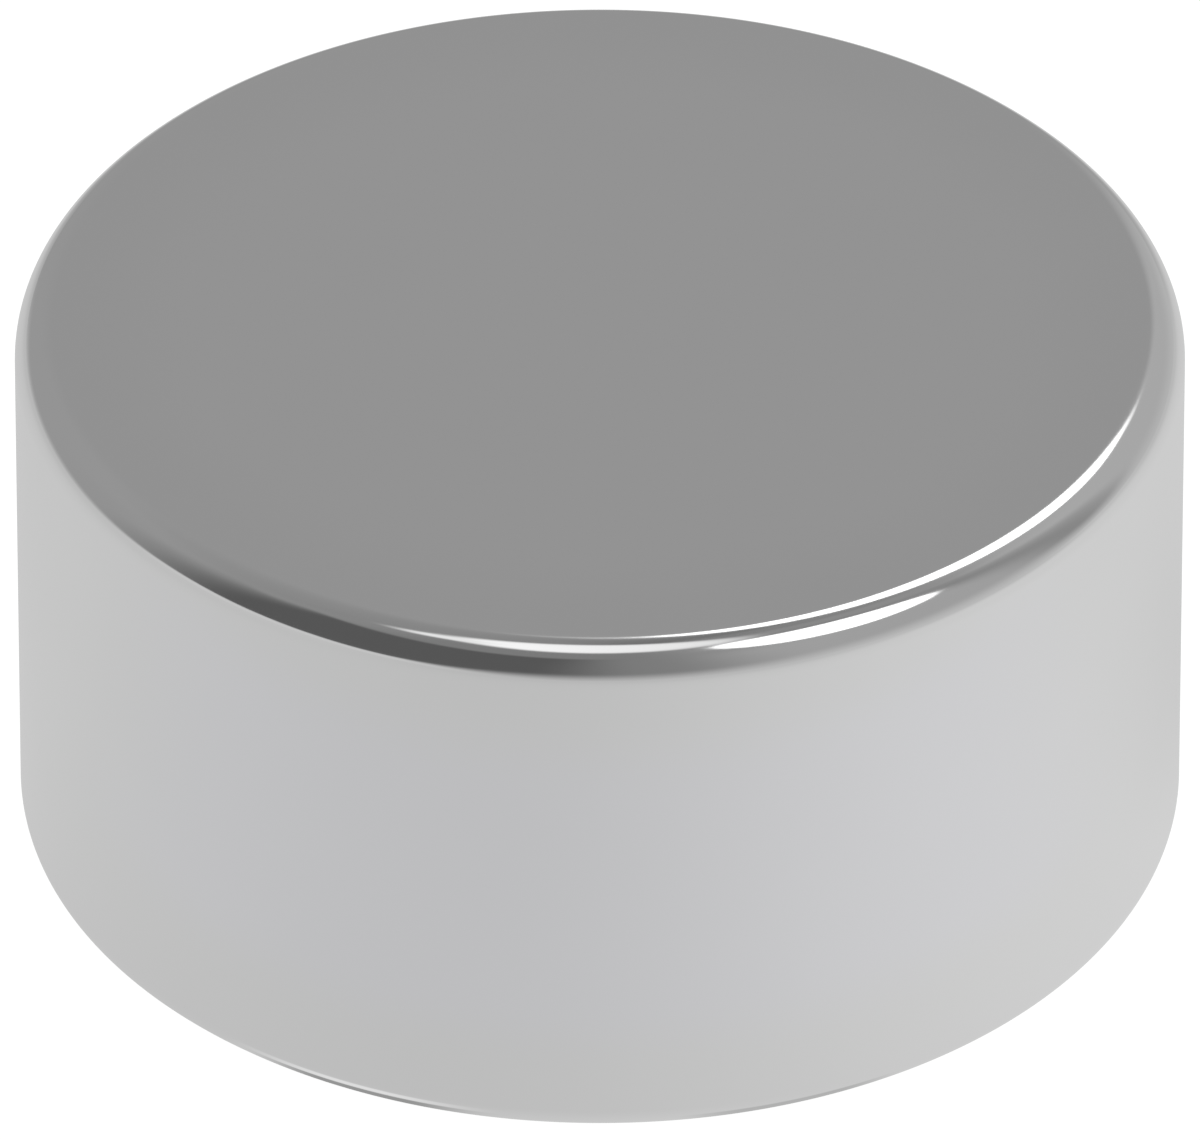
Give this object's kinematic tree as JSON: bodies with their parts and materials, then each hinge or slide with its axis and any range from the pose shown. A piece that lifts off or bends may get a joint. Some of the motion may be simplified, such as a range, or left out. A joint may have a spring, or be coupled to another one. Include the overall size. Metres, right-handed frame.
{
  "type": "disc magnet",
  "caption": "Plain round disc magnet, a flat puck half as high as it is wide, with rounded rims and bright plating.",
  "frame": {"origin": "centre of the lower pole face, on the surface that the disc lies on", "axes": "+Z along the disc's axis, from the lower pole face to the upper one; X and Y lie across the disc, which is the same all round"},
  "size_m": [0.01, 0.01, 0.005],
  "materials": {
    "bright_plating": "bright nickel plating, smooth and mirror-like, without marks"
  },
  "bodies": {
    "root": {"magnet_disc": "bright_plating"}
  },
  "joints": []
}
